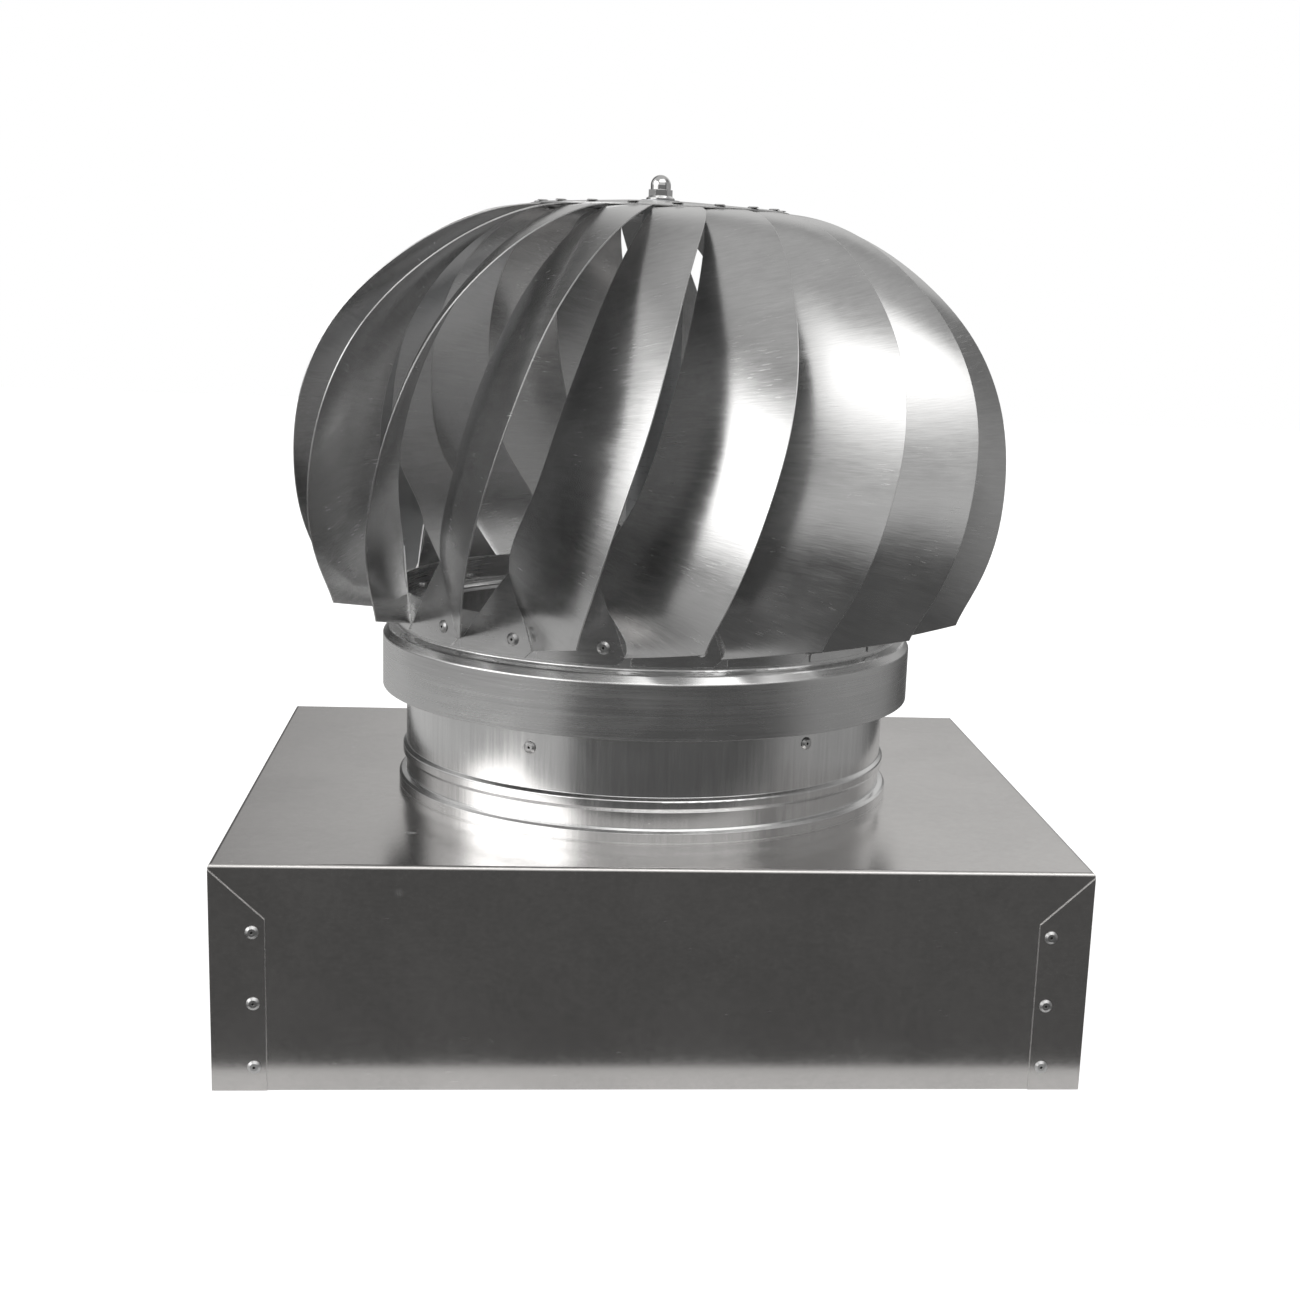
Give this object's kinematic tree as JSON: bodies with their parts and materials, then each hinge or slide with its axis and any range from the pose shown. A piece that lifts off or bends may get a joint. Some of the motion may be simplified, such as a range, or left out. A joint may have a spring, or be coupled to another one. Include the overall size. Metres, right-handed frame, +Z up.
{
  "type": "roof turbine ventilator",
  "caption": "Wind-driven roof turbine ventilator: a globe of curved riveted vanes with a rain skirt spins on a bearing post above a beaded throat on a folded rectangular curb cap.",
  "frame": {"origin": "centre of the curb cap's lower rim, on the rotor axis", "axes": "+Z up along the rotor's spin axis, X along the cap's longer side, front face towards -Y"},
  "size_m": [0.508, 0.4526, 0.5256],
  "materials": {
    "cap_sheet": "mill finish sheet, lightly brushed",
    "throat_sheet": "mill finish sheet",
    "rotor_sheet": "mill finish sheet",
    "vane_sheet": "brushed sheet",
    "rivets": "satin",
    "zinc_steel": "zinc plated",
    "post_metal": "turned",
    "bearing_steel": "ground",
    "nut_chrome": "polished"
  },
  "bodies": {
    "base": {"curb_cap": "cap_sheet", "corner_rivets": "rivets", "deck_collar": "throat_sheet", "throat_sleeve": "throat_sheet", "brace_bar_lower": "zinc_steel", "brace_bar_upper": "zinc_steel", "brace_rivets": "rivets", "bearing_post": "post_metal", "post_nut": "zinc_steel", "bearing_spacer": "post_metal", "lower_bearing_outer": "bearing_steel", "upper_bearing_outer": "bearing_steel"},
    "rotor": {"rotor_rim": "rotor_sheet", "foot_rivets": "rivets", "top_plate": "rotor_sheet", "top_rivets": "rivets", "top_hub": "post_metal", "shaft": "bearing_steel", "shaft_collar": "zinc_steel", "retaining_ring": "bearing_steel", "lower_bearing_inner": "bearing_steel", "upper_bearing_inner": "bearing_steel", "top_washer": "zinc_steel", "acorn_nut": "nut_chrome", "vane_01": "vane_sheet", "vane_02": "vane_sheet", "vane_03": "vane_sheet", "vane_04": "vane_sheet", "vane_05": "vane_sheet", "vane_06": "vane_sheet", "vane_07": "vane_sheet", "vane_08": "vane_sheet", "vane_09": "vane_sheet", "vane_10": "vane_sheet", "vane_11": "vane_sheet", "vane_12": "vane_sheet", "vane_13": "vane_sheet", "vane_14": "vane_sheet", "vane_15": "vane_sheet", "vane_16": "vane_sheet", "vane_17": "vane_sheet", "vane_18": "vane_sheet"}
  },
  "joints": [
    {"name": "rotor_spin", "type": "hinge", "parent": "base", "child": "rotor", "pos_m": [0, 0, 0.35], "axis": [0, 0, 1], "continuous": true}
  ]
}
